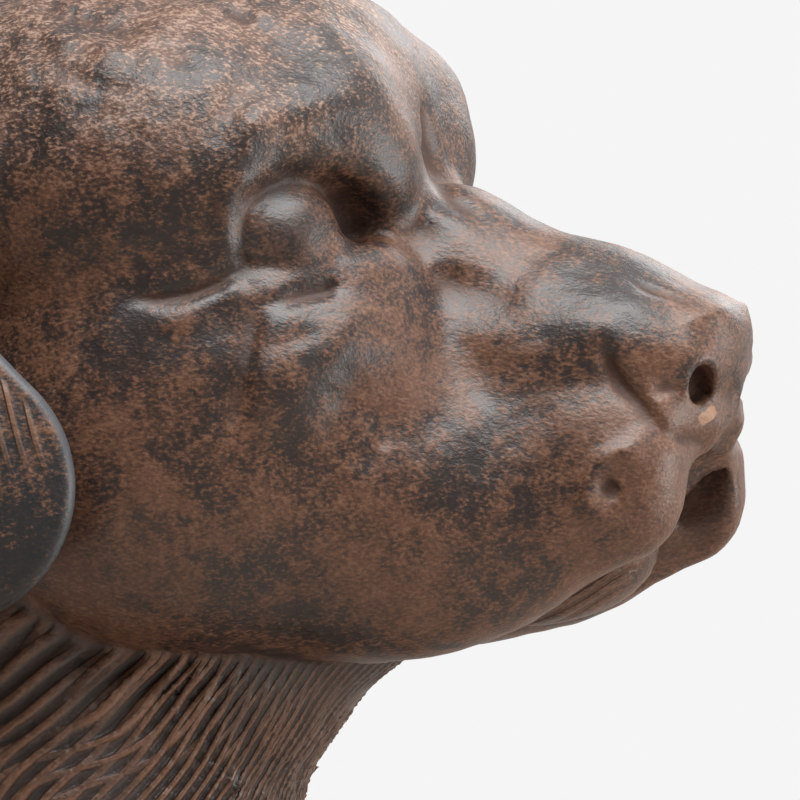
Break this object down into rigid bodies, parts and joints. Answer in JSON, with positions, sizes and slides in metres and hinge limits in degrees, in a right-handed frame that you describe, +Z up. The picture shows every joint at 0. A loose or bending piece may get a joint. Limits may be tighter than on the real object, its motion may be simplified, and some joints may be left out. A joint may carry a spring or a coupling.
{
  "type": "dog bust",
  "caption": "Life-size cast bust of a retriever: head in a calm gaze, hanging ears, and a neck of combed fur cut flat below.",
  "frame": {"origin": "middle of the flat underside of the neck", "axes": "+X the way the dog faces, +Y its left side, +Z up"},
  "size_m": [0.2636, 0.1569, 0.2987],
  "materials": {
    "dog_bust": "mottled rust brown over dark grey, dull sheen"
  },
  "bodies": {
    "root": {"dog_bust": "dog_bust"}
  },
  "joints": []
}
